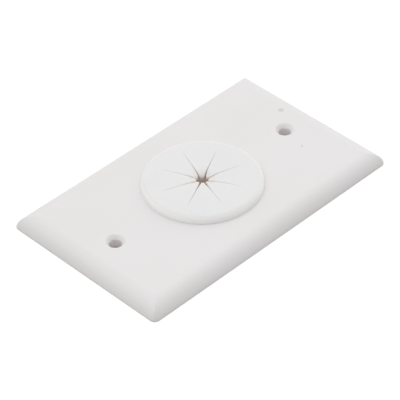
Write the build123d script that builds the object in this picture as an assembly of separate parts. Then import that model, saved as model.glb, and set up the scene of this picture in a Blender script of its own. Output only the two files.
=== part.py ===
from build123d import *
import os
from math import radians, sqrt, tan

# Grommet wall plate: a single-gang moulded plate with a soft slotted cable grommet in its middle.
# Millimetres. X runs across the width, Y along the length, Z out of the wall.
# The origin is the centre of the back rim, on the plane that lies against the wall.

# Plate, outside
plate_width = 69.85
plate_length = 114.3
plate_depth = 5.2
edge_reach = 6.58
edge_land = 0.6
corner_radius = 2.8
mitre_radius = 1.0

# Plate, hollow back
wall_thickness = 2.2
recess_corner_radius = 1.5
rib_thickness = 1.2
rib_setback = 1.0
long_rib_offset = 25.5
cross_rib_offset = 27.0
rib_draft = 1.0

# Screw holes, on the long centreline
screw_spacing = 83.34
screw_hole_diameter = 4.5
countersink_diameter = 6.9
countersink_angle = 82.0
countersink_break = 0.3
boss_diameter = 9.0
boss_setback = 0.8

# Round seat for the grommet, through the middle of the plate
seat_diameter = 38.1
neck_clearance = 0.1

# Grommet body
flange_diameter = 43.4
flange_height = 2.5
flange_round = 2.7
neck_wall = 2.6
lip_overhang = 1.6
lip_thickness = 1.5
lip_lead = 0.9

# Grommet flaps
flap_thickness = 2.0
flap_count = 8
dish_depth = 1.0
slit_radius = 15.1
slit_turn = 26.2
slit_mouth_width = 0.45
slit_end_width = 0.12
cable_hole_diameter = 4.8
tip_bevel = 0.7
tip_corner_round = 0.35

# Worked out from the sizes above
over = 1.0
edge_drop = plate_depth - edge_land
edge_radius = (edge_reach ** 2 + edge_drop ** 2) / (2 * edge_drop)
recess_top = plate_depth - wall_thickness
recess_reach = sqrt((edge_radius - wall_thickness) ** 2 - (edge_radius - plate_depth) ** 2)
rim_width = edge_reach - recess_reach
neck_radius = seat_diameter / 2 - neck_clearance
flange_radius = flange_diameter / 2
flange_top = plate_depth + flange_height
tip_top = flange_top - dish_depth
hole_radius = cable_hole_diameter / 2
boss_places = [Pos(0, side * screw_spacing / 2, 0) for side in (-1, 1)]


def rolled_bar(width, length, reach, foot, top, floor):
    """Bar along Y whose upper edges roll over in arcs that run tangent into the flat top."""
    half = width / 2
    right = TangentArc((half - reach, top), (half, foot), tangent=(1, 0))
    left = TangentArc((reach - half, top), (-half, foot), tangent=(-1, 0))
    base = Polyline((half, foot), (half, floor), (-half, floor), (-half, foot))
    crown = Line((reach - half, top), (half - reach, top))
    section = make_face([crown, right, base, left])
    return extrude(Plane.XZ * section, length / 2, both=True)


def rolled_slab(width, length, reach, foot, top, floor, corner):
    """Slab with rolled edges on all four sides, which meet in sharp mitres above rounded corners."""
    across = rolled_bar(width, length, reach, foot, top, floor)
    along = Rot(0, 0, 90) * rolled_bar(length, width, reach, foot, top, floor)
    slab = across & along
    return fillet(slab.edges().filter_by(Axis.Z), corner)


def on_mitre(edge):
    """True for a ridge of the plate's outside, where two rolled edges meet."""
    point = edge @ 0.5
    inset_x = plate_width / 2 - abs(point.X)
    inset_y = plate_length / 2 - abs(point.Y)
    return abs(inset_x - inset_y) < mitre_radius / 100 and edge_land < point.Z < plate_depth


def plate_outside():
    """The plate before it is hollowed, with its mitres softened."""
    slab = rolled_slab(plate_width, plate_length, edge_reach, edge_land, plate_depth, 0, corner_radius)
    return fillet(slab.edges().filter_by(on_mitre), mitre_radius)


def rib(length, height):
    """Stiffening rib along Y that hangs from the wall and thins towards its free edge."""
    root = Pos(0, 0, recess_top + over) * Rectangle(rib_thickness, length)
    return extrude(root, height + over, dir=(0, 0, -1), taper=rib_draft)


def back_ribs():
    """Two long ribs beside the grommet, two cross ribs, and one rib from each boss to the rim."""
    height = recess_top - rib_setback
    long_ribs = [Pos(x, 0, 0) * rib(plate_length, height) for x in (-long_rib_offset, long_rib_offset)]
    cross = Rot(0, 0, 90) * rib(2 * long_rib_offset, height)
    cross_ribs = [Pos(0, y, 0) * cross for y in (-cross_rib_offset, cross_rib_offset)]
    run = (plate_length - screw_spacing) / 2
    end_ribs = [Pos(0, side * (screw_spacing + run) / 2, 0) * rib(run, height) for side in (-1, 1)]
    return long_ribs + cross_ribs + end_ribs


def screw_boss():
    """Round boss behind a screw hole, which stops short of the wall plane."""
    foot = Pos(0, 0, boss_setback) * Circle(boss_diameter / 2)
    return extrude(foot, recess_top + over - boss_setback)


def screw_hole():
    """Cutter for one through hole with its cone-shaped countersink, whose rim is broken."""
    throat = screw_hole_diameter / 2
    mouth = countersink_diameter / 2
    sink_slope = tan(radians(countersink_angle / 2))
    throat_height = plate_depth - (mouth - throat) / sink_slope
    rim = mouth + countersink_break
    profile = Polyline(
        (0, -over),
        (throat, -over),
        (throat, throat_height),
        (mouth - countersink_break * sink_slope, plate_depth - countersink_break),
        (rim, plate_depth),
        (rim, plate_depth + over),
        (0, plate_depth + over),
        close=True,
    )
    return revolve(Plane.XZ * make_face(profile), Axis.Z)


def plate_recess():
    """Cutter for the hollow back, which follows the outside and leaves ribs and bosses standing."""
    width = plate_width - 2 * rim_width
    length = plate_length - 2 * rim_width
    recess = rolled_slab(width, length, recess_reach, 0, recess_top, -over, recess_corner_radius)
    return recess - back_ribs() - [place * screw_boss() for place in boss_places]


def wall_plate():
    """The moulded plate: rolled slab, hollow back with ribs and bosses, screw holes and grommet seat."""
    plate = plate_outside() - plate_recess() - [place * screw_hole() for place in boss_places]
    return plate - extrude(Circle(seat_diameter / 2), plate_depth + over)


def grommet_profile():
    """Half section of the grommet, from the flap tip at the cable hole out to flange, neck and lip."""
    inner = neck_radius - neck_wall
    lip = neck_radius + lip_overhang
    foot = recess_top - lip_thickness
    under = tip_top - flap_thickness
    fall = dish_depth / (flange_radius - flange_round - hole_radius)
    shoulder = TangentArc(
        (flange_radius - flange_round, flange_top), (flange_radius, plate_depth), tangent=(1, fall)
    )
    rest = Polyline(
        (flange_radius, plate_depth),
        (neck_radius, plate_depth),
        (neck_radius, recess_top),
        (lip, recess_top),
        (lip - lip_lead, foot),
        (inner, foot),
        (inner, under),
        (hole_radius, under),
        (hole_radius, tip_top - tip_bevel),
        (hole_radius + tip_bevel, tip_top + fall * tip_bevel),
        (flange_radius - flange_round, flange_top),
    )
    return make_face([shoulder, rest])


def star_cut():
    """Cutter in the shape of the cable hole with its slits, which narrow outwards and flare at the hole."""
    slit = make_face(Polyline(
        (0, slit_mouth_width / 2),
        (slit_radius, slit_end_width / 2),
        (slit_radius, -slit_end_width / 2),
        (0, -slit_mouth_width / 2),
        close=True,
    ))
    star = Circle(hole_radius) + [Rot(0, 0, slit_turn + k * 360 / flap_count) * slit for k in range(flap_count)]
    mouths = star.vertices().filter_by(lambda v: v.center().length < hole_radius + tip_corner_round)
    star = fillet(mouths, tip_corner_round)
    depth = flap_thickness + dish_depth + over
    return extrude(Pos(0, 0, flange_top - depth) * star, depth + over)


def cable_grommet():
    """The soft grommet: a turned form with its dished disc cut into flaps."""
    return revolve(Plane.XZ * grommet_profile(), Axis.Z) - star_cut()


parts = {
    "wall_plate": wall_plate(),
    "cable_grommet": cable_grommet(),
}
os.makedirs("parts", exist_ok=True)
for name, shape in parts.items():
    export_step(shape, f"parts/{name}.step")
    box = shape.bounding_box()
    print(name, "solids", len(shape.solids()), "volume", round(shape.volume, 2), "size", box.size)
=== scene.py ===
import logging
import math
from collections.abc import Callable, Iterable, Sequence
from dataclasses import dataclass
from enum import Enum
from typing import TypeVar

import bmesh
import bpy
from mathutils import Matrix, Vector


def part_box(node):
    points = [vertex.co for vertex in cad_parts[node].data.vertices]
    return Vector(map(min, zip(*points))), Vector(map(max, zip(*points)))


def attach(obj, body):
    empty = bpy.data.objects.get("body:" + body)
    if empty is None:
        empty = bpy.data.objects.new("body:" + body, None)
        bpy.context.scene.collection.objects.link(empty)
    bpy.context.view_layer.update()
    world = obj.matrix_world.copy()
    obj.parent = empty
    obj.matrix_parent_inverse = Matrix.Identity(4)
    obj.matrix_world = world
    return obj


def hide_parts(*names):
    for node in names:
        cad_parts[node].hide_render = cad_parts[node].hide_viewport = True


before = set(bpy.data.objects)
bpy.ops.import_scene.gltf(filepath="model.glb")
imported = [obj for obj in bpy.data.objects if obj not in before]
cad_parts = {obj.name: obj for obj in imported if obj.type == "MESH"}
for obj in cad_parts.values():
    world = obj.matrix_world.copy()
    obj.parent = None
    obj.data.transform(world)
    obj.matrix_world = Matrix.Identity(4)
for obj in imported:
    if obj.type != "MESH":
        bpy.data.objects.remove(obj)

# The looks of a grommet wall plate: a white moulded plate and the soft white grommet in its middle.
# Sizes are in millimetres until a piece is finished, and turn to metres there.

LOG = logging.getLogger("grommet_wall_plate")
MM = 0.001
BODY = "root"

# Points that lie nearer than this are merged, and a cut that passes nearer goes through the point.
MERGE_DISTANCE = 0.0005
CUT_DISTANCE = 0.0001

# The Mix node's colour sockets go by number, because their names repeat.
MIX_FACTOR, MIX_FIRST, MIX_SECOND, MIX_RESULT = 0, 6, 7, 2

Colour = tuple[float, float, float, float]
Part = TypeVar("Part")


class Sight(Enum):
    """The rays that meet the white backdrop, where all others meet the plain pale floor."""

    CAMERA = "Is Camera Ray"
    GLOSSY = "Is Glossy Ray"
    TRANSMISSION = "Is Transmission Ray"


# Helpers for meshes


def once_each(parts: Iterable[Part]) -> list[Part]:
    """Lists parts of a mesh once each, in the order in which they first come."""
    return list(dict.fromkeys(parts))


def draw_loop(bm: bmesh.types.BMesh, points: Sequence[Vector]) -> list[bmesh.types.BMEdge]:
    """Draws a closed loop of edges through points, from a circle whose corners are moved to them.

    Args:
        bm: The mesh that gets the loop.
        points: The corners in order.

    Returns:
        The loop's edges.
    """
    circle = bmesh.ops.create_circle(bm, segments=len(points), radius=1.0)
    for vert, point in zip(circle["verts"], points):
        vert.co = point
    return once_each(edge for vert in circle["verts"] for edge in vert.link_edges)


def skin(bm: bmesh.types.BMesh, loops: Sequence[list[bmesh.types.BMEdge]]) -> None:
    """Bridges each loop to the next with a band of faces."""
    for low, high in zip(loops, loops[1:]):
        bmesh.ops.bridge_loops(bm, edges=low + high)


def fill_flat(bm: bmesh.types.BMesh, edges: list[bmesh.types.BMEdge]) -> None:
    """Fills the level area between loops at one height."""
    bmesh.ops.triangle_fill(bm, use_beauty=True, edges=edges, normal=(0, 0, 1))


def circle_points(radius: float, height: float, centre_y: float, steps: int) -> list[Vector]:
    """Works out the points of a level circle on the long centreline.

    Args:
        radius: The circle's radius.
        height: Its height above the wall.
        centre_y: Where its centre lies along the plate.
        steps: How many points it has.

    Returns:
        The points in order.
    """
    turns = [math.tau * k / steps for k in range(steps)]
    return [Vector((radius * math.cos(t), centre_y + radius * math.sin(t), height)) for t in turns]


def eased(share: float) -> float:
    """Turns a share from 0 to 1 into one that starts and ends gently."""
    return share * share * (3 - 2 * share)


def finish_piece(
    bm: bmesh.types.BMesh, name: str, material: bpy.types.Material, crease_deg: float = 30.0
) -> bpy.types.Object:
    """Turns a mesh in millimetres into a piece at the origin, in metres.

    Args:
        bm: The mesh, which is freed here.
        name: The piece's name.
        material: Its finish.
        crease_deg: Faces that meet at more than this angle keep a sharp edge.

    Returns:
        The new piece, linked to the scene.
    """
    bmesh.ops.remove_doubles(bm, verts=bm.verts[:], dist=MERGE_DISTANCE)
    bmesh.ops.dissolve_degenerate(bm, edges=bm.edges[:], dist=MERGE_DISTANCE)
    bmesh.ops.recalc_face_normals(bm, faces=bm.faces[:])
    bmesh.ops.scale(bm, vec=(MM, MM, MM), verts=bm.verts[:])
    for face in bm.faces:
        face.smooth = True
    mesh = bpy.data.meshes.new(name)
    bm.to_mesh(mesh)
    bm.free()
    mesh.set_sharp_from_angle(angle=math.radians(crease_deg))
    mesh.materials.append(material)
    piece = bpy.data.objects.new(name, mesh)
    bpy.context.scene.collection.objects.link(piece)
    return piece


# Helpers for finishes


def linear(hex_colour: str) -> Colour:
    """Turns an sRGB colour linear, with the numbers of the sRGB standard.

    Args:
        hex_colour: The colour, such as "#E7E6E4".

    Returns:
        The opaque linear colour that a socket takes.
    """
    channels = [int(hex_colour[i:i + 2], 16) / 255 for i in (1, 3, 5)]
    lit = [c / 12.92 if c <= 0.04045 else ((c + 0.055) / 1.055) ** 2.4 for c in channels]
    return (lit[0], lit[1], lit[2], 1.0)


def add_node(
    tree: bpy.types.NodeTree,
    kind: str,
    inputs: dict[str | int, object] | None = None,
    **settings: object,
) -> bpy.types.Node:
    """Adds one node with its settings, values and links.

    Args:
        tree: The tree that gets the node.
        kind: The node's type.
        inputs: A value or an output socket for each input, by its name or number.
        **settings: Properties of the node itself.

    Returns:
        The new node.
    """
    node = tree.nodes.new(kind)
    for key, value in settings.items():
        setattr(node, key, value)
    for key, value in (inputs or {}).items():
        if isinstance(value, bpy.types.NodeSocket):
            tree.links.new(value, node.inputs[key])
        else:
            node.inputs[key].default_value = value
    return node


@dataclass(frozen=True)
class Fade:
    """Where a colour shows: not at all where value is start, and by its share where it is end."""

    value: bpy.types.NodeSocket
    start: float
    end: float
    share: float = 1.0


@dataclass(frozen=True)
class Finish:
    """What every finish of the object shares. Pattern sizes are in millimetres."""

    name: str
    roughness: float
    ior: float
    grain_size: float
    grain_depth: float
    grain_detail: float = 2.0

    def begin(self) -> tuple[bpy.types.Material, bpy.types.Node, bpy.types.NodeSocket]:
        """Starts the material.

        Returns:
            The material, its surface shader and the coordinates that patterns follow.
        """
        material = bpy.data.materials.new(self.name)
        material.use_nodes = True
        tree = material.node_tree
        tree.nodes.clear()
        shader = add_node(
            tree, "ShaderNodeBsdfPrincipled", {"Roughness": self.roughness, "IOR": self.ior}
        )
        add_node(tree, "ShaderNodeOutputMaterial", {"Surface": shader.outputs["BSDF"]})
        place = add_node(tree, "ShaderNodeTexCoord").outputs["Object"]
        return material, shader, place

    def lay_over(
        self,
        tree: bpy.types.NodeTree,
        under: bpy.types.NodeSocket | Colour,
        hex_colour: str,
        fades: Sequence[Fade],
    ) -> bpy.types.NodeSocket:
        """Lays a colour over what is there, as strongly as all of its fades together let it.

        Args:
            tree: The material's tree.
            under: The colour so far.
            hex_colour: The colour that goes over it.
            fades: Where it shows. Their strengths are multiplied.

        Returns:
            The new colour.
        """
        strength: bpy.types.NodeSocket | float = 1.0
        for fade in fades:
            span = {
                "Value": fade.value,
                "From Min": fade.start,
                "From Max": fade.end,
                "To Max": fade.share,
            }
            grown = add_node(tree, "ShaderNodeMapRange", span, interpolation_type="SMOOTHSTEP")
            both = {0: strength, 1: grown.outputs["Result"]}
            strength = add_node(tree, "ShaderNodeMath", both, operation="MULTIPLY").outputs[0]
        colours = {MIX_FACTOR: strength, MIX_FIRST: under, MIX_SECOND: linear(hex_colour)}
        return add_node(tree, "ShaderNodeMix", colours, data_type="RGBA").outputs[MIX_RESULT]

    def grain(
        self, tree: bpy.types.NodeTree, shader: bpy.types.Node, place: bpy.types.NodeSocket
    ) -> None:
        """Gives the surface its grain, as a relief.

        Args:
            tree: The material's tree.
            shader: The shader whose surface gets the relief.
            place: The coordinates that the grain follows.
        """
        pattern = {"Vector": place, "Scale": 1 / (self.grain_size * MM), "Detail": self.grain_detail}
        height = add_node(tree, "ShaderNodeTexNoise", pattern).outputs["Fac"]
        relief = {"Strength": 1.0, "Distance": self.grain_depth * MM, "Height": height}
        bump = add_node(tree, "ShaderNodeBump", relief)
        tree.links.new(bump.outputs["Normal"], shader.inputs["Normal"])


# Finishes


@dataclass(frozen=True)
class Scuff:
    """A faint round mark on the plate's face: its place, radius and strength from 0 to 1."""

    x: float
    y: float
    radius: float
    strength: float


@dataclass(frozen=True)
class MouldedNylon(Finish):
    """White nylon moulded in a finely etched tool: an even satin, a trace warmer where it set last."""

    name: str = "moulded_white_nylon"
    roughness: float = 0.42
    ior: float = 1.53

    # The real etching is finer than 0.1 mm, and the grain is drawn as coarse as it needs to show.
    grain_size: float = 0.5
    grain_depth: float = 0.004

    # Where the melt flowed, in wide soft patches
    colour: str = "#E7E5E4"
    warm_colour: str = "#E8E6E6"
    flow_size: float = 45.0
    flow_detail: float = 1.0
    flow_start: float = 0.35
    flow_end: float = 0.65

    # How the satin varies
    sheen_size: float = 9.0
    sheen_detail: float = 3.0
    sheen_start: float = 0.3
    sheen_end: float = 0.7
    sheen_spread: float = 0.05

    # Marks, whose edge and core are shares of their radius
    scuff_colour: str = "#C9C8C8"
    scuff_edge: float = 1.3
    scuff_core: float = 0.4
    scuffs: tuple[Scuff, ...] = (
        Scuff(-8.58, 48.82, 1.15, 0.75),
        Scuff(10.96, 38.98, 0.55, 0.7),
    )

    def make(self, face: float) -> bpy.types.Material:
        """Builds the material.

        Args:
            face: The height of the plate's face, where the marks lie.

        Returns:
            The material.
        """
        material, shader, place = self.begin()
        tree = material.node_tree
        pattern = {"Vector": place, "Scale": 1 / (self.flow_size * MM), "Detail": self.flow_detail}
        flow = add_node(tree, "ShaderNodeTexNoise", pattern).outputs["Fac"]
        warm = Fade(flow, self.flow_start, self.flow_end)
        colour = self.lay_over(tree, linear(self.colour), self.warm_colour, [warm])
        for scuff in self.scuffs:
            colour = self.mark(tree, place, colour, scuff, face)
        tree.links.new(colour, shader.inputs["Base Color"])
        self.sheen(tree, shader, place)
        self.grain(tree, shader, place)
        return material

    def mark(
        self,
        tree: bpy.types.NodeTree,
        place: bpy.types.NodeSocket,
        colour: bpy.types.NodeSocket,
        scuff: Scuff,
        face: float,
    ) -> bpy.types.NodeSocket:
        """Lays one scuff over the colour, on the face alone.

        Args:
            tree: The material's tree.
            place: The coordinates that the scuff's place is in.
            colour: The colour so far.
            scuff: The mark.
            face: The height of the plate's face.

        Returns:
            The colour with the scuff on it.
        """
        centre = (scuff.x * MM, scuff.y * MM, face * MM)
        away = add_node(tree, "ShaderNodeVectorMath", {0: place, 1: centre}, operation="DISTANCE")
        edge = scuff.radius * MM * self.scuff_edge
        core = scuff.radius * MM * self.scuff_core
        worn = Fade(away.outputs["Value"], edge, core, scuff.strength)
        return self.lay_over(tree, colour, self.scuff_colour, [worn])

    def sheen(
        self, tree: bpy.types.NodeTree, shader: bpy.types.Node, place: bpy.types.NodeSocket
    ) -> None:
        """Lets the satin vary a little over the plate.

        Args:
            tree: The material's tree.
            shader: The shader whose roughness varies.
            place: The coordinates that the patches follow.
        """
        pattern = {"Vector": place, "Scale": 1 / (self.sheen_size * MM), "Detail": self.sheen_detail}
        patches = add_node(tree, "ShaderNodeTexNoise", pattern).outputs["Fac"]
        span = {
            "Value": patches,
            "From Min": self.sheen_start,
            "From Max": self.sheen_end,
            "To Min": self.roughness - self.sheen_spread,
            "To Max": self.roughness + self.sheen_spread,
        }
        satin = add_node(tree, "ShaderNodeMapRange", span, interpolation_type="SMOOTHSTEP")
        tree.links.new(satin.outputs["Result"], shader.inputs["Roughness"])


@dataclass(frozen=True)
class SoftElastomer(Finish):
    """Soft white elastomer, moulded: matt, a little whiter than the plate, and lit a little way in.

    Painted light makes it paler down the flange's thin rim and faintly tan at the flaps' tips, and
    painted shade makes it more so deep in the mouths of the slits. These zones are given by distances
    from its axis and heights above the wall.
    """

    name: str = "soft_white_elastomer"
    roughness: float = 0.55
    ior: float = 1.5

    # The real grain is finer than 0.1 mm, and is drawn as coarse as it needs to show.
    grain_size: float = 0.6
    grain_depth: float = 0.003

    # Soft clouds in the white
    colour: str = "#EBEAEA"
    cloudy_colour: str = "#E9E9E9"
    cloud_size: float = 14.0
    cloud_detail: float = 2.0
    cloud_start: float = 0.35
    cloud_end: float = 0.65

    # Painted light: the flange's rim made paler down its shoulder, to lift the shade where it meets the
    # plate
    rim_painted_light_colour: str = "#F2F1F0"
    rim_start: float = 19.0
    rim_end: float = 20.2
    rim_top: float = 7.65
    rim_foot: float = 7.1

    # Painted light: a warm tan at the flaps' tips, for light that scatters through the thin rubber
    tip_painted_light_colour: str = "#EDE0D7"
    tip_start: float = 5.6
    tip_end: float = 1.8
    tip_share: float = 0.6

    # Painted shade: tan deep in the slits' mouths, from the disc's top down to just above its underside
    mouth_painted_shade_colour: str = "#DFD2C8"
    mouth_start: float = 5.6
    mouth_end: float = 4.6
    mouth_top: float = 6.6
    mouth_deep: float = 5.6
    mouth_low: float = 5.1
    mouth_foot: float = 4.72
    mouth_share: float = 0.8

    # How far light goes in
    glow_depth: float = 0.5
    glow_share: float = 0.5
    glow_reach: tuple[float, float, float] = (1.0, 0.95, 0.9)

    def make(self) -> bpy.types.Material:
        """Builds the material.

        Returns:
            The material.
        """
        material, shader, place = self.begin()
        tree = material.node_tree
        shader.inputs["Subsurface Weight"].default_value = self.glow_share
        shader.inputs["Subsurface Radius"].default_value = self.glow_reach
        shader.inputs["Subsurface Scale"].default_value = self.glow_depth * MM
        pattern = {"Vector": place, "Scale": 1 / (self.cloud_size * MM), "Detail": self.cloud_detail}
        cloud = add_node(tree, "ShaderNodeTexNoise", pattern).outputs["Fac"]
        cloudy = Fade(cloud, self.cloud_start, self.cloud_end)
        colour = self.lay_over(tree, linear(self.colour), self.cloudy_colour, [cloudy])
        # The zones paint light and shade into the colour: a paler rim, warm tips and tan shade in the
        # mouths.
        for zone_colour, fades in self.zones(tree, place):
            colour = self.lay_over(tree, colour, zone_colour, fades)
        tree.links.new(colour, shader.inputs["Base Color"])
        self.grain(tree, shader, place)
        return material

    def zones(
        self, tree: bpy.types.NodeTree, place: bpy.types.NodeSocket
    ) -> list[tuple[str, list[Fade]]]:
        """Works out where light and shade are painted into the grommet's plain white.

        Args:
            tree: The material's tree.
            place: The coordinates that the zones are in.

        Returns:
            The colours of the painted light on the rim, the painted light at the tips and the painted
            shade in the mouths, in that order, each with its fades.
        """
        level = {0: place, 1: (1.0, 1.0, 0.0)}
        flat = add_node(tree, "ShaderNodeVectorMath", level, operation="MULTIPLY")
        away = add_node(tree, "ShaderNodeVectorMath", {0: flat.outputs[0]}, operation="LENGTH")
        radius = away.outputs["Value"]
        height = add_node(tree, "ShaderNodeSeparateXYZ", {"Vector": place}).outputs["Z"]
        # rim carries the painted light on the flange's shoulder.
        rim = [
            Fade(radius, self.rim_start * MM, self.rim_end * MM),
            Fade(height, self.rim_top * MM, self.rim_foot * MM),
        ]
        painted_tip_light = [Fade(radius, self.tip_start * MM, self.tip_end * MM, self.tip_share)]
        painted_mouth_shade = [
            Fade(radius, self.mouth_start * MM, self.mouth_end * MM),
            Fade(height, self.mouth_top * MM, self.mouth_deep * MM),
            Fade(height, self.mouth_foot * MM, self.mouth_low * MM, self.mouth_share),
        ]
        return [(self.rim_painted_light_colour, rim), (self.tip_painted_light_colour, painted_tip_light), (self.mouth_painted_shade_colour, painted_mouth_shade)]


# The plate


@dataclass(frozen=True)
class Roll:
    """The arc by which a wall rolls over into a flat. It runs tangent into the flat at its top."""

    reach: float
    foot: float
    top: float

    @property
    def radius(self) -> float:
        """The arc's radius."""
        drop = self.top - self.foot
        return (self.reach ** 2 + drop ** 2) / (2 * drop)

    def levels(self, steps: int) -> list[tuple[float, float, float]]:
        """Steps up the arc.

        Args:
            steps: How many bands the arc is cut into.

        Returns:
            For each level from the foot up: its inset from the foot, its height and its steepness,
            which is the sine of the slope.
        """
        sweep = math.asin(self.reach / self.radius)
        turns = [sweep * (1 - k / steps) for k in range(steps + 1)]
        return [
            (
                self.reach - self.radius * math.sin(turn),
                self.top - self.radius * (1 - math.cos(turn)),
                math.sin(turn),
            )
            for turn in turns
        ]


@dataclass
class MouldedPlate:
    """The plate: edges that roll down to the wall, a hollow ribbed back, and holes with bosses."""

    width: float
    length: float
    depth: float

    # Outside
    edge_reach: float = 6.58
    edge_land: float = 0.6
    foot_break: float = 0.15
    corner_radius: float = 2.2
    mitre_radius: float = 0.6
    ridge_least: float = 0.2

    # Hollow back. Faces up to ceiling_slack above its ceiling count as its own.
    wall_thickness: float = 2.2
    recess_corner: float = 1.5
    rib_thickness: float = 1.2
    rib_setback: float = 1.0
    long_rib_offset: float = 25.5
    cross_rib_offset: float = 27.0
    ceiling_slack: float = 0.015

    # Screw holes with their bosses, and the grommet's seat
    screw_spacing: float = 83.34
    throat_radius: float = 2.25
    sink_radius: float = 3.45
    sink_angle: float = 82.0
    sink_break: float = 0.3
    throat_round: float = 0.5
    boss_radius: float = 4.5
    boss_setback: float = 0.8
    seat_radius: float = 19.05

    # Where the middle line of a broken edge lies, as a share of the break
    break_middle: float = 0.3

    # How finely the mesh follows the shape
    corner_steps: int = 10
    roll_steps: int = 20
    recess_steps: int = 10
    hole_steps: int = 64
    throat_steps: int = 5
    seat_steps: int = 128
    crease_deg: float = 32.0
    flat_weight: int = 100

    @property
    def recess_top(self) -> float:
        """Height of the hollow's ceiling."""
        return self.depth - self.wall_thickness

    @property
    def roll(self) -> Roll:
        """The outside's rolled edge."""
        return Roll(self.edge_reach, self.edge_land, self.depth)

    @property
    def recess_roll(self) -> Roll:
        """The hollow's rolled edge, one wall inside the outer one."""
        inner = self.roll.radius - self.wall_thickness
        reach = math.sqrt(inner ** 2 - (inner - self.recess_top) ** 2)
        return Roll(reach, 0.0, self.recess_top)

    @property
    def rim_width(self) -> float:
        """Width of the rim that lies against the wall."""
        return self.edge_reach - self.recess_roll.reach

    @property
    def end_rib_start(self) -> float:
        """Where the ribs that run from the bosses to the ends begin, inside each boss."""
        return self.screw_spacing / 2 + self.boss_radius - self.rib_thickness / 2

    def level(self, inset: float, height: float, corner: float) -> list[Vector]:
        """Works out one level line: a rectangle with rounded corners, inset from the outline.

        Args:
            inset: How far it lies inside the plate's outline.
            height: Its height above the wall.
            corner: The radius of its corners.

        Returns:
            The points in order, as many for every level.
        """
        points = []
        for quarter in range(4):
            side_x = 1 if quarter in (0, 3) else -1
            side_y = 1 if quarter in (0, 1) else -1
            centre_x = side_x * (self.width / 2 - inset - corner)
            centre_y = side_y * (self.length / 2 - inset - corner)
            for k in range(self.corner_steps + 1):
                turn = math.pi / 2 * (quarter + k / self.corner_steps)
                x = centre_x + corner * math.cos(turn)
                y = centre_y + corner * math.sin(turn)
                points.append(Vector((x, y, height)))
        return points

    def outside(self) -> list[list[Vector]]:
        """Works out the outside, whose corners tighten into mitres as its edges roll over.

        Returns:
            The level lines from the rim up to the flat face.
        """
        soft = self.foot_break
        middle = soft * self.break_middle
        levels = [
            self.level(soft, 0.0, self.corner_radius - soft),
            self.level(middle, middle, self.corner_radius - middle),
            self.level(0.0, soft, self.corner_radius),
        ]
        for inset, height, steepness in self.roll.levels(self.roll_steps):
            ridge = max(self.mitre_radius * steepness, self.ridge_least)
            levels.append(self.level(inset, height, max(self.corner_radius - inset, ridge)))
        return levels

    def hollow(self) -> list[list[Vector]]:
        """Works out the hollow back.

        Returns:
            The level lines from the rim up to the ceiling.
        """
        levels = []
        for inset, height, _ in self.recess_roll.levels(self.recess_steps):
            corner = max(self.recess_corner - inset, self.ridge_least)
            levels.append(self.level(self.rim_width + inset, height, corner))
        return levels

    def hole_levels(self) -> list[tuple[float, float]]:
        """Works out a screw hole: a broken rim, the countersink, and a round into the throat.

        Returns:
            The radius and height of each level, from the face down to the ceiling.
        """
        half_angle = math.radians(self.sink_angle / 2)
        slope = math.tan(half_angle)
        throat_height = self.depth - (self.sink_radius - self.throat_radius) / slope
        round_foot = throat_height - self.throat_round * math.tan(half_angle / 2)
        levels = [
            (self.sink_radius + self.sink_break, self.depth),
            (self.sink_radius, self.depth - self.sink_break * self.break_middle),
            (self.sink_radius - self.sink_break * slope, self.depth - self.sink_break),
        ]
        for k in range(self.throat_steps + 1):
            turn = half_angle * (1 - k / self.throat_steps)
            radius = self.throat_radius + self.throat_round * (1 - math.cos(turn))
            levels.append((radius, round_foot + self.throat_round * math.sin(turn)))
        return levels + [(self.throat_radius, self.recess_top)]

    def shell(self, bm: bmesh.types.BMesh) -> None:
        """Makes the closed shell: outside, face, hollow, ceiling, seat and screw holes.

        Args:
            bm: The mesh that gets the shell.
        """
        outside = [draw_loop(bm, points) for points in self.outside()]
        hollow = [draw_loop(bm, points) for points in self.hollow()]
        skin(bm, outside)
        skin(bm, hollow)
        seat = [
            draw_loop(bm, circle_points(self.seat_radius, z, 0.0, self.seat_steps))
            for z in (self.depth, self.recess_top)
        ]
        skin(bm, seat)
        rim_edges = outside[0] + hollow[0]
        face_edges = outside[-1] + seat[0]
        ceiling_edges = hollow[-1] + seat[1]
        for side in (-1, 1):
            centre = side * self.screw_spacing / 2
            hole = [
                draw_loop(bm, circle_points(radius, z, centre, self.hole_steps))
                for radius, z in self.hole_levels()
            ]
            boss = draw_loop(
                bm, circle_points(self.boss_radius, self.recess_top, centre, self.hole_steps)
            )
            skin(bm, hole)
            face_edges += hole[0]
            ceiling_edges += boss
            fill_flat(bm, hole[-1] + boss)
        for edges in (rim_edges, face_edges, ceiling_edges):
            fill_flat(bm, edges)

    def is_back(self, face: bmesh.types.BMFace) -> bool:
        """Tells a face of the hollow: its rolled wall, its ceiling or what hangs from it.

        Args:
            face: The face.

        Returns:
            True if it belongs to the hollow.
        """
        centre = face.calc_center_median()
        in_width = abs(centre.x) < self.width / 2 - self.rim_width
        in_length = abs(centre.y) < self.length / 2 - self.rim_width
        return in_width and in_length and 0 < centre.z < self.recess_top + self.ceiling_slack

    def cut(self, bm: bmesh.types.BMesh, point: Vector, normal: Vector) -> None:
        """Cuts the hollow's faces along a plane, and leaves all of them in place.

        Args:
            bm: The plate's mesh.
            point: A point of the plane.
            normal: The plane's normal.
        """
        faces = [face for face in bm.faces if self.is_back(face)]
        parts = once_each(part for face in faces for part in (*face.verts, *face.edges))
        bmesh.ops.bisect_plane(
            bm, geom=parts + faces, dist=CUT_DISTANCE, plane_co=point, plane_no=normal
        )

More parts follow.
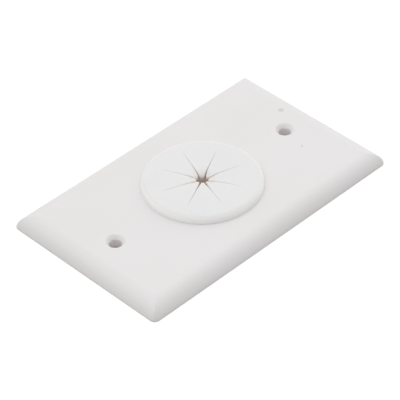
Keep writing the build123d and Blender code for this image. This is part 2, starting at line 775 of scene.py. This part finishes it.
    def hang(
        self, bm: bmesh.types.BMesh, inside: Callable[[Vector], bool], foot: float
    ) -> None:
        """Lets parts of the ceiling down to a level foot, with upright sides.

        Args:
            bm: The plate's mesh.
            inside: Says of a face's centre whether the face is let down.
            foot: The height that they are let down to.
        """
        faces = [
            face
            for face in bm.faces
            if self.is_back(face)
            and face.calc_center_median().z > foot
            and inside(face.calc_center_median())
        ]
        grown = bmesh.ops.extrude_face_region(bm, geom=faces)["geom"]
        for part in grown:
            if isinstance(part, bmesh.types.BMVert):
                part.co.z = foot
        bmesh.ops.delete(bm, geom=faces, context="FACES")

    def on_boss(self, point: Vector) -> bool:
        """True for a point over one of the two bosses."""
        return math.hypot(point.x, abs(point.y) - self.screw_spacing / 2) < self.boss_radius

    def on_rib(self, point: Vector) -> bool:
        """Tells a point over a rib.

        Args:
            point: The point.

        Returns:
            True if a long rib, a cross rib or an end rib stands there.
        """
        half = self.rib_thickness / 2
        across, along = abs(point.x), abs(point.y)
        on_long = abs(across - self.long_rib_offset) < half
        on_cross = abs(along - self.cross_rib_offset) < half and across < self.long_rib_offset
        on_end = across < half and along > self.end_rib_start
        return on_long or on_cross or on_end

    def ribs_and_bosses(self, bm: bmesh.types.BMesh) -> None:
        """Grows the ribs and the screw bosses out of the hollow's ceiling and walls.

        Args:
            bm: The plate's mesh.
        """
        half = self.rib_thickness / 2
        along_x, along_y = Vector((1, 0, 0)), Vector((0, 1, 0))
        for x in (self.long_rib_offset - half, self.long_rib_offset + half, half):
            for side in (-1, 1):
                self.cut(bm, along_x * side * x, along_x)
        for y in (self.cross_rib_offset - half, self.cross_rib_offset + half, self.end_rib_start):
            for side in (-1, 1):
                self.cut(bm, along_y * side * y, along_y)
        self.cut(bm, Vector((0, 0, self.rib_setback)), Vector((0, 0, 1)))
        self.hang(bm, lambda p: self.on_rib(p) or self.on_boss(p), self.rib_setback)
        self.hang(bm, self.on_boss, self.boss_setback)

    def build(self, material: bpy.types.Material) -> bpy.types.Object:
        """Makes the whole plate as one closed mesh.

        Args:
            material: The plate's finish.

        Returns:
            The piece, which stands for the plate's CAD node.
        """
        bm = bmesh.new()
        self.shell(bm)
        self.ribs_and_bosses(bm)
        piece = finish_piece(bm, "moulded_plate", material, self.crease_deg)
        flats = piece.modifiers.new("even_flats", "WEIGHTED_NORMAL")
        flats.weight = self.flat_weight
        flats.keep_sharp = True
        return piece


# The grommet


@dataclass(frozen=True)
class Flap:
    """How one flap lies, and the form of its tip.

    tip_radius is how far the tip stays from the centre, droop how far it hangs, tip_round and corner
    its rounds from the side and from above, and mouth how much wider the slits beside it open there.
    """

    tip_radius: float
    droop: float
    tip_round: float
    corner: float
    mouth: float


@dataclass
class SlottedGrommet:
    """The soft grommet: a round flange, a neck with a lip below the plate, and a disc cut into flaps."""

    flange_radius: float
    flange_top: float
    foot: float
    plate_face: float
    plate_back: float

    # Flange, whose shoulder is a little fuller than a circle's arc and tucks in at the plate
    flange_round: float = 2.2
    shoulder_power: float = 2.1
    tuck_width: float = 0.04
    tuck_height: float = 0.25

    # Neck and lip
    neck_radius: float = 18.95
    neck_wall: float = 2.6
    lip_overhang: float = 1.6
    lip_lead: float = 0.9

    # Disc
    dish_depth: float = 0.5
    dish_start: float = 1.7
    dish_power: float = 5.0
    underside: float = 4.7

    # Slits, whose upper rims are rounded
    slit_radius: float = 15.1
    slit_turn: float = 26.2
    slit_gap: float = 0.28
    slit_power: float = 1.6
    slit_flare: float = 3.0
    rim_round: float = 0.6
    rim_end: float = 0.15
    rim_fade: float = 0.6
    rim_power: int = 3

    # Flaps, in order round the grommet
    tip_under_round: float = 1.8
    tip_least: float = 0.3
    tip_crowding: float = 1.8
    droop_start: float = 5.5
    droop_power: float = 1.3
    flaps: tuple[Flap, ...] = (
        Flap(2.10, 0.45, 0.5, 0.4, 0.20),
        Flap(2.30, 0.75, 0.9, 0.8, 0.40),
        Flap(2.20, 0.80, 1.2, 0.6, 0.20),
        Flap(2.30, 0.65, 0.9, 0.5, 0.20),
        Flap(2.15, 0.30, 0.5, 0.4, 0.15),
        Flap(1.80, 0.00, 0.4, 0.2, 0.50),
        Flap(1.75, 0.00, 0.4, 0.1, 0.20),
        Flap(1.75, 0.10, 0.4, 0.6, 0.65),
    )

    # How finely the mesh follows the shape
    columns: int = 20
    rim_columns: int = 5
    rows: int = 3
    flap_steps: int = 24
    dish_steps: int = 6
    shoulder_steps: int = 16
    tuck_steps: int = 5
    ring_blend: float = 3.0
    crease_deg: float = 50.0

    @property
    def sector(self) -> float:
        """The angle of one flap with half a slit on each side."""
        return math.tau / len(self.flaps)

    @property
    def flange_edge(self) -> float:
        """The radius at which the flange's top begins to roll over."""
        return self.flange_radius - self.flange_round

    def dish(self, radius: float) -> float:
        """Height of the disc's upper side at a radius: nearly flat, and dipping towards the tips."""
        share = (radius - self.dish_start) / (self.flange_edge - self.dish_start)
        return self.flange_top - self.dish_depth * (1 - min(max(share, 0.0), 1.0)) ** self.dish_power

    def rounding(self, distance: float, radius: float) -> float:
        """Works out how far a rounded edge lies below its sharp corner.

        Args:
            distance: How far inside the corner it is asked for.
            radius: The radius of the round.

        Returns:
            The drop, which is 0 past the round.
        """
        if distance >= radius:
            return 0.0
        return radius - math.sqrt(radius ** 2 - (radius - distance) ** 2)

    def flap_strip(self, bm: bmesh.types.BMesh, flap: Flap) -> list[bmesh.types.BMFace]:
        """Makes the half section through one flap as a strip of faces in the XZ plane.

        Args:
            bm: The mesh that gets the strip.
            flap: How the flap lies.

        Returns:
            The strip's faces.
        """
        half = 0.5
        grid = bmesh.ops.create_grid(
            bm, x_segments=self.flap_steps, y_segments=self.rows, size=half
        )
        for vert in grid["verts"]:
            across, up = vert.co.x + half, vert.co.y + half
            inside = (self.slit_radius - flap.tip_radius) * across ** self.tip_crowding
            radius = flap.tip_radius + inside
            bend = max((self.droop_start - radius) / (self.droop_start - flap.tip_radius), 0.0)
            high = self.dish(radius) - self.rounding(inside, flap.tip_round)
            low = self.underside + self.rounding(inside, self.tip_under_round)
            low = min(low, high - self.tip_least)
            sag = flap.droop * bend ** self.droop_power
            vert.co = Vector((radius, 0, low + (high - low) * up - sag))
        return once_each(face for vert in grid["verts"] for face in vert.link_faces)

    def ring_outline(self) -> list[tuple[float, float]]:
        """Works out the rest of the half section, from the slit's end round and back to it.

        Returns:
            The radius and height of each point: disc, shoulder, tuck, neck, lip and underside.
        """
        inner = self.neck_radius - self.neck_wall
        waist = self.plate_face + self.tuck_height
        lip = self.neck_radius + self.lip_overhang
        power = 2 / self.shoulder_power
        outline = []
        for k in range(1, self.dish_steps):
            radius = self.slit_radius + (self.flange_edge - self.slit_radius) * k / self.dish_steps
            outline.append((radius, self.dish(radius)))
        for k in range(self.shoulder_steps + 1):
            turn = math.pi / 2 * k / self.shoulder_steps
            out, up = math.sin(turn) ** power, max(math.cos(turn), 0.0) ** power
            outline.append(
                (self.flange_edge + self.flange_round * out, waist + (self.flange_top - waist) * up)
            )
        for k in range(1, self.tuck_steps + 1):
            turn = math.pi / 2 * k / self.tuck_steps
            outline.append(
                (
                    self.flange_radius - self.tuck_width * (1 - math.cos(turn)),
                    waist - self.tuck_height * math.sin(turn),
                )
            )
        outline += [
            (self.neck_radius, self.plate_face),
            (self.neck_radius, self.plate_back),
            (lip, self.plate_back),
            (lip - self.lip_lead, self.foot),
            (inner, self.foot),
            (inner, self.underside),
        ]
        return outline

    def section(self, bm: bmesh.types.BMesh, flap: Flap) -> list[bmesh.types.BMFace]:
        """Makes the whole half section: a flap's strip and one face for the ring round it.

        Args:
            bm: The mesh that gets the section.
            flap: How the flap lies.

        Returns:
            The section's faces.
        """
        strip = self.flap_strip(bm, flap)
        corners = once_each(vert for face in strip for vert in face.verts)
        end = [vert for vert in corners if abs(vert.co.x - self.slit_radius) < MERGE_DISTANCE]
        end.sort(key=lambda vert: vert.co.z)
        ring = [bm.verts.new((radius, 0, height)) for radius, height in self.ring_outline()]
        return strip + [bm.faces.new(end + ring)]

    def flap_side(self, flap: Flap, radius: float) -> tuple[float, float]:
        """Works out the side of a flap at a radius.

        Args:
            flap: How the flap lies.
            radius: The distance from the grommet's centre.

        Returns:
            The side's distance from the middle of the slit, and the round on its upper rim.
        """
        inside = max(radius - flap.tip_radius, 0.0)
        along = min(inside / (self.slit_radius - flap.tip_radius), 1.0)
        gap = self.slit_gap * (1 - along) ** self.slit_power
        gap += flap.mouth * max(1 - (inside / self.slit_flare) ** 2, 0.0)
        side = gap / 2 + self.rounding(inside, flap.corner)
        rim = self.rim_round + (self.rim_end - self.rim_round) * along
        return side, min(rim, (radius * self.sector / 2 - side) / 2)

    def column_turn(self, flap: Flap, column: int, radius: float) -> float:
        """Works out where a column of a flap lies: crowded at the slits' rims, and even in the ring.

        Args:
            flap: How the flap lies.
            column: The column's number, counted from the slit beside the flap.
            radius: The distance from the grommet's centre.

        Returns:
            The angle from the middle of that slit.
        """
        even = self.sector * column / self.columns
        nearest = min(column, self.columns - column)
        past_slit = (radius - self.slit_radius) / self.ring_blend
        if past_slit >= 1:
            return even
        side, rim = self.flap_side(flap, radius)
        quarter = math.pi / 2 * min(nearest, self.rim_columns) / self.rim_columns
        turn = (side + rim * (1 - math.cos(quarter))) / radius
        if nearest > self.rim_columns:
            share = (nearest - self.rim_columns) / (self.columns / 2 - self.rim_columns)
            turn += (self.sector / 2 - turn) * share
        if column > self.columns / 2:
            turn = self.sector - turn
        return turn + (even - turn) * eased(max(past_slit, 0.0))

    def rim_drop(self, flap: Flap, column: int, radius: float) -> float:
        """Works out how far the upper side rounds off beside a slit, which fades at the slit's end.

        Args:
            flap: How the flap lies.
            column: The column's number, counted from the slit beside the flap.
            radius: The distance from the grommet's centre.

        Returns:
            The drop below the disc's upper side.
        """
        nearest = min(column, self.columns - column)
        if nearest >= self.rim_columns or radius >= self.slit_radius:
            return 0.0
        rim = self.flap_side(flap, radius)[1]
        quarter = math.pi / 2 * nearest / self.rim_columns
        fade = min((self.slit_radius - radius) / self.rim_fade, 1.0)
        return rim * (1 - math.sin(quarter)) * fade

    def shape_sector(self, verts: Iterable[bmesh.types.BMVert], flap: Flap) -> None:
        """Opens half a slit on each side of the spun sector and rounds the slits' rims.

        Args:
            verts: The sector's vertices.
            flap: How its flap lies.
        """
        for vert in verts:
            radius = math.hypot(vert.co.x, vert.co.y)
            column = round(math.atan2(vert.co.y, vert.co.x) / self.sector * self.columns)
            turn = self.column_turn(flap, column, radius)
            height = vert.co.z
            thickness = self.dish(radius) - self.underside
            share = min(max((height - self.underside) / thickness, 0.0), 1.0)
            height -= self.rim_drop(flap, column, radius) * share ** self.rim_power
            vert.co = Vector((radius * math.cos(turn), radius * math.sin(turn), height))

    def add_sector(self, bm: bmesh.types.BMesh, flap: Flap, place: int) -> None:
        """Spins one flap with its share of the ring, and turns it to its place.

        Args:
            bm: The mesh that gets the sector.
            flap: How the flap lies.
            place: The flap's number, counted round the grommet.
        """
        earlier = set(bm.verts)
        faces = self.section(bm, flap)
        parts = once_each(part for face in faces for part in (*face.verts, *face.edges))
        axis = Vector((0, 0, 1))
        bmesh.ops.spin(
            bm,
            geom=parts + faces,
            cent=(0, 0, 0),
            axis=axis,
            angle=self.sector,
            steps=self.columns,
        )
        verts = [vert for vert in bm.verts if vert not in earlier]
        self.shape_sector(verts, flap)
        turn = Matrix.Rotation(math.radians(self.slit_turn) + place * self.sector, 3, axis)
        bmesh.ops.rotate(bm, cent=(0, 0, 0), matrix=turn, verts=verts)

    def build(self, material: bpy.types.Material) -> bpy.types.Object:
        """Makes the grommet as one closed mesh.

        Args:
            material: The grommet's finish.

        Returns:
            The piece, which stands for the grommet's CAD node.
        """
        bm = bmesh.new()
        for place, flap in enumerate(self.flaps):
            self.add_sector(bm, flap, place)
        # The ring's own faces lie inside, where sectors meet. They alone have over four corners.
        ring_sides = [face for face in bm.faces if len(face.verts) > 4]
        bmesh.ops.delete(bm, geom=ring_sides, context="FACES_ONLY")
        return finish_piece(bm, "soft_grommet", material, self.crease_deg)


# The studio


@dataclass(frozen=True)
class SoftLamp:
    """A wide soft lamp far away, its angles in degrees.

    spread is how wide it looks from the plate, and share what it adds to the light on an upward face.
    """

    name: str
    azimuth: float
    elevation: float
    spread: float
    share: float

    def build(self) -> None:
        """Makes the lamp. Azimuth 0 stands it on the +X side and 90 on the +Y side."""
        light = bpy.data.lights.new(self.name, "SUN")
        light.angle = math.radians(self.spread)
        rise = math.radians(self.elevation)
        swing = math.radians(self.azimuth)
        light.energy = self.share * math.pi / math.sin(rise)
        lamp = bpy.data.objects.new(self.name, light)
        towards = Vector(
            (math.cos(rise) * math.cos(swing), math.cos(rise) * math.sin(swing), math.sin(rise))
        )
        lamp.location = towards
        lamp.rotation_euler = towards.to_track_quat("Z", "Y").to_euler()
        bpy.context.scene.collection.objects.link(lamp)


@dataclass
class Studio:
    """A pale floor under even soft light, with a backdrop that is white to the eye."""

    shadow_width: float
    shadow_length: float

    # The open floor, as light meets it and as the eye does
    floor_size: float = 6000.0
    floor_colour: str = "#B4B2B0"
    sweep_glow: float = 0.92
    sweep_colour: str = "#6A6A6A"

    # Inside the plate's rim: its light in the hollow, and the painted shade seen through the holes
    # and the flaps, darker under the flaps
    under_fill: str = "#9E9495"
    under_seen_painted_shade: str = "#948C8C"
    under_flaps_painted_shade: str = "#857B75"
    flaps_reach: float = 15.0

    # Lights
    world_light: float = 0.70
    lamps: tuple[SoftLamp, ...] = (
        SoftLamp("far_end_softbox", 90.0, 25.0, 50.0, 0.064),
        SoftLamp("far_corner_softbox", 135.0, 55.0, 50.0, 0.059),
        SoftLamp("near_corner_softbox", 225.0, 55.0, 50.0, 0.136),
    )

    def seen(self, tree: bpy.types.NodeTree) -> bpy.types.NodeSocket:
        """Finds the rays that meet the white backdrop.

        Args:
            tree: The tree that gets the nodes.

        Returns:
            A factor that is 1 for them and 0 for the rest.
        """
        path = add_node(tree, "ShaderNodeLightPath")
        factor: bpy.types.NodeSocket | float = 0.0
        for sight in Sight:
            inputs = {0: factor, 1: path.outputs[sight.value]}
            factor = add_node(tree, "ShaderNodeMath", inputs, operation="MAXIMUM").outputs[0]
        return factor

    def world(self) -> None:
        """Makes the world: even light, and white for the rays that see the backdrop."""
        world = bpy.data.worlds.new("even_light")
        world.use_nodes = True
        tree = world.node_tree
        tree.nodes.clear()
        light = add_node(tree, "ShaderNodeBackground", {"Strength": self.world_light})
        white = add_node(tree, "ShaderNodeBackground", {"Strength": 1.0})
        for node in (light, white):
            node.inputs["Color"].default_value = (1.0, 1.0, 1.0, 1.0)
        parts = {0: self.seen(tree), 1: light.outputs[0], 2: white.outputs[0]}
        both = add_node(tree, "ShaderNodeMixShader", parts)
        add_node(tree, "ShaderNodeOutputWorld", {"Surface": both.outputs[0]})
        bpy.context.scene.world = world

    def open_floor(self, tree: bpy.types.NodeTree) -> bpy.types.NodeSocket:
        """Dresses the open floor: pale where light meets it, and nearly white to the eye.

        Args:
            tree: The floor's tree.

        Returns:
            The shader's output.
        """
        plain = add_node(tree, "ShaderNodeBsdfDiffuse", {"Color": linear(self.floor_colour)})
        glow = add_node(tree, "ShaderNodeEmission", {"Strength": self.sweep_glow})
        lit = add_node(tree, "ShaderNodeBsdfDiffuse", {"Color": linear(self.sweep_colour)})
        sweep = add_node(tree, "ShaderNodeAddShader", {0: glow.outputs[0], 1: lit.outputs[0]})
        parts = {0: self.seen(tree), 1: plain.outputs[0], 2: sweep.outputs[0]}
        return add_node(tree, "ShaderNodeMixShader", parts).outputs[0]

    def floor_painted_shade_under(
        self, tree: bpy.types.NodeTree, place: bpy.types.NodeSocket
    ) -> bpy.types.NodeSocket:
        """Dresses the floor inside the plate's rim: a glow that lights the hollow, and a painted shade
        to the eye, darker under the flaps.

        Args:
            tree: The floor's tree.
            place: The floor's coordinates.

        Returns:
            The shader's output.
        """
        fill = add_node(tree, "ShaderNodeEmission", {"Color": linear(self.under_fill)})
        away = add_node(tree, "ShaderNodeVectorMath", {0: place}, operation="LENGTH")
        reach = {0: away.outputs["Value"], 1: self.flaps_reach * MM}
        beyond = add_node(tree, "ShaderNodeMath", reach, operation="GREATER_THAN")
        # Painted shade: a dim glow for the shaded floor, darker under the flaps than under the holes.
        tones = {
            MIX_FACTOR: beyond.outputs[0],
            MIX_FIRST: linear(self.under_flaps_painted_shade),
            MIX_SECOND: linear(self.under_seen_painted_shade),
        }
        shade_tone = add_node(tree, "ShaderNodeMix", tones, data_type="RGBA").outputs[MIX_RESULT]
        painted_shade_glow = add_node(tree, "ShaderNodeEmission", {"Color": shade_tone})
        parts = {0: self.seen(tree), 1: fill.outputs[0], 2: painted_shade_glow.outputs[0]}
        return add_node(tree, "ShaderNodeMixShader", parts).outputs[0]

    def covered(
        self, tree: bpy.types.NodeTree, place: bpy.types.NodeSocket
    ) -> bpy.types.NodeSocket:
        """Finds the floor inside the plate's rim.

        Args:
            tree: The floor's tree.
            place: The floor's coordinates.

        Returns:
            A factor that is 1 there and 0 elsewhere.
        """
        axes = add_node(tree, "ShaderNodeSeparateXYZ", {"Vector": place})
        factor: bpy.types.NodeSocket | float = 1.0
        for axis, size in (("X", self.shadow_width), ("Y", self.shadow_length)):
            far = add_node(tree, "ShaderNodeMath", {0: axes.outputs[axis]}, operation="ABSOLUTE")
            limit = {0: far.outputs[0], 1: size / 2 * MM}
            near = add_node(tree, "ShaderNodeMath", limit, operation="LESS_THAN")
            both = {0: near.outputs[0], 1: factor}
            factor = add_node(tree, "ShaderNodeMath", both, operation="MULTIPLY").outputs[0]
        return factor

    def floor_material(self) -> bpy.types.Material:
        """Builds the floor's material, which is clear from below so that the back can be seen.

        Returns:
            The material.
        """
        material = bpy.data.materials.new("pale_floor")
        material.use_nodes = True
        tree = material.node_tree
        tree.nodes.clear()
        place = add_node(tree, "ShaderNodeTexCoord").outputs["Object"]
        parts = {
            0: self.covered(tree, place),
            1: self.open_floor(tree),
            2: self.floor_painted_shade_under(tree, place),
        }
        floor = add_node(tree, "ShaderNodeMixShader", parts)
        below = add_node(tree, "ShaderNodeNewGeometry").outputs["Backfacing"]
        clear = add_node(tree, "ShaderNodeBsdfTransparent")
        sides = {0: below, 1: floor.outputs[0], 2: clear.outputs[0]}
        one_sided = add_node(tree, "ShaderNodeMixShader", sides)
        add_node(tree, "ShaderNodeOutputMaterial", {"Surface": one_sided.outputs[0]})
        return material

    def build(self) -> None:
        """Makes the floor, the world and the lamps."""
        bm = bmesh.new()
        bmesh.ops.create_grid(bm, x_segments=1, y_segments=1, size=self.floor_size / 2)
        floor = finish_piece(bm, "floor", self.floor_material())
        self.world()
        for lamp in self.lamps:
            lamp.build()


@dataclass(frozen=True)
class PhotoCamera:
    """The camera that took the picture, as its outline of the plate gives it, in degrees.

    nearest and farthest bound what it sees.
    """

    azimuth: float = 46.0333
    elevation: float = 40.5485
    roll: float = -1.515
    distance: float = 780.21
    target_x: float = 1.2904
    target_y: float = -2.5967
    lens: float = 201.33
    sensor: float = 36.0
    nearest: float = 10.0
    farthest: float = 20000.0

    def build(self) -> None:
        """Makes the camera and sets it as the scene's."""
        swing, rise = math.radians(self.azimuth), math.radians(self.elevation)
        back = Vector(
            (math.sin(swing) * math.cos(rise), -math.cos(swing) * math.cos(rise), math.sin(rise))
        )
        level_right = Vector((math.cos(swing), math.sin(swing), 0))
        level_up = back.cross(level_right)
        tilt = math.radians(self.roll)
        right = level_right * math.cos(tilt) + level_up * math.sin(tilt)
        up = level_up * math.cos(tilt) - level_right * math.sin(tilt)
        target = Vector((self.target_x, self.target_y, 0))
        turn = Matrix((right, up, back)).transposed()
        data = bpy.data.cameras.new("photo_camera")
        data.sensor_width = self.sensor
        data.lens = self.lens
        data.clip_start, data.clip_end = self.nearest * MM, self.farthest * MM
        camera = bpy.data.objects.new("photo_camera", data)
        camera.matrix_world = Matrix.Translation((target + back * self.distance) * MM) @ turn.to_4x4()
        bpy.context.scene.collection.objects.link(camera)
        bpy.context.scene.camera = camera


def place_piece(piece: bpy.types.Object, node: str) -> None:
    """Seats a piece in the frame, and reports it.

    Args:
        piece: The piece, which rides on the body.
        node: The CAD node that it stands for.
    """
    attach(piece, BODY)
    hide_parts(node)
    LOG.info("%s: %d faces", piece.name, len(piece.data.polygons))


def main() -> None:
    logging.basicConfig(level=logging.INFO, format="%(name)s: %(message)s")
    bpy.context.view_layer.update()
    plate_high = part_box("wall_plate")[1] / MM
    grommet_low, grommet_high = (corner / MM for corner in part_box("cable_grommet"))

    plate = MouldedPlate(
        width=2 * plate_high.x,
        length=2 * plate_high.y,
        depth=plate_high.z,
    )
    place_piece(plate.build(MouldedNylon().make(plate.depth)), "wall_plate")

    grommet = SlottedGrommet(
        flange_radius=grommet_high.x,
        flange_top=grommet_high.z,
        foot=grommet_low.z,
        plate_face=plate.depth,
        plate_back=plate.recess_top,
    )
    place_piece(grommet.build(SoftElastomer().make()), "cable_grommet")

    Studio(
        shadow_width=plate.width - 2 * plate.rim_width,
        shadow_length=plate.length - 2 * plate.rim_width,
    ).build()
    PhotoCamera().build()
    bpy.context.scene.view_settings.view_transform = "Standard"


if __name__ == "__main__":
    main()
